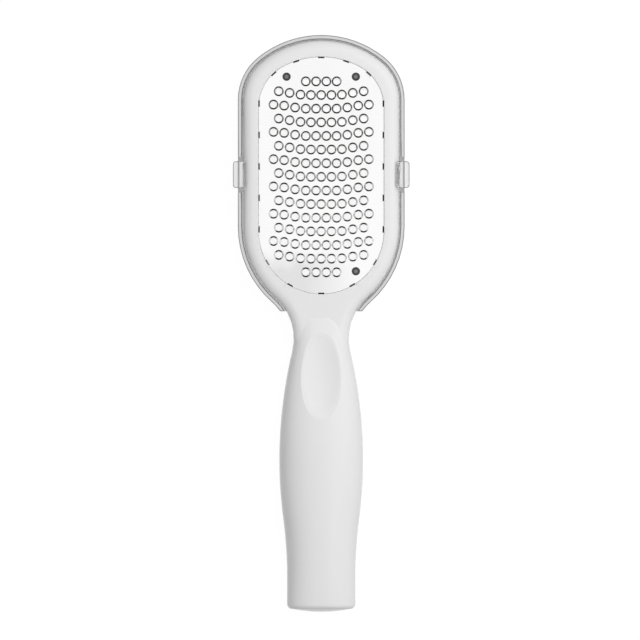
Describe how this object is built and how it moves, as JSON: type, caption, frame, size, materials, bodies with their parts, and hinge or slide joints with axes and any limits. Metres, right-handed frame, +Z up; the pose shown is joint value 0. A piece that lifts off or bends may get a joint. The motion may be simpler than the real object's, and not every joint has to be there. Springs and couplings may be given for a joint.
{
  "type": "foot rasp",
  "caption": "Hand foot rasp: racket-shaped white head with a steel plate of raised cutting rings, rounded hollow grip with a thumb dimple, and a clear filings catcher clipped on behind.",
  "frame": {"origin": "centre of the bounding box's bottom, on the surface that the rasp lies on", "axes": "+Y along the length towards the tip of the head, +Z up through the rasp face, +X to the right seen from the front"},
  "size_m": [0.0612, 0.2, 0.022],
  "materials": {
    "white_plastic": "gloss white moulded ABS",
    "plate_steel": "bright stamped stainless sheet",
    "rivet_steel": "dark domed steel",
    "clear_plastic": "clear moulded plastic"
  },
  "bodies": {
    "root": {"handle_front": "white_plastic", "handle_back": "white_plastic", "rasp_plate": "plate_steel", "rivet_left": "rivet_steel", "rivet_right": "rivet_steel", "rivet_lower": "rivet_steel", "catcher": "clear_plastic"}
  },
  "joints": []
}
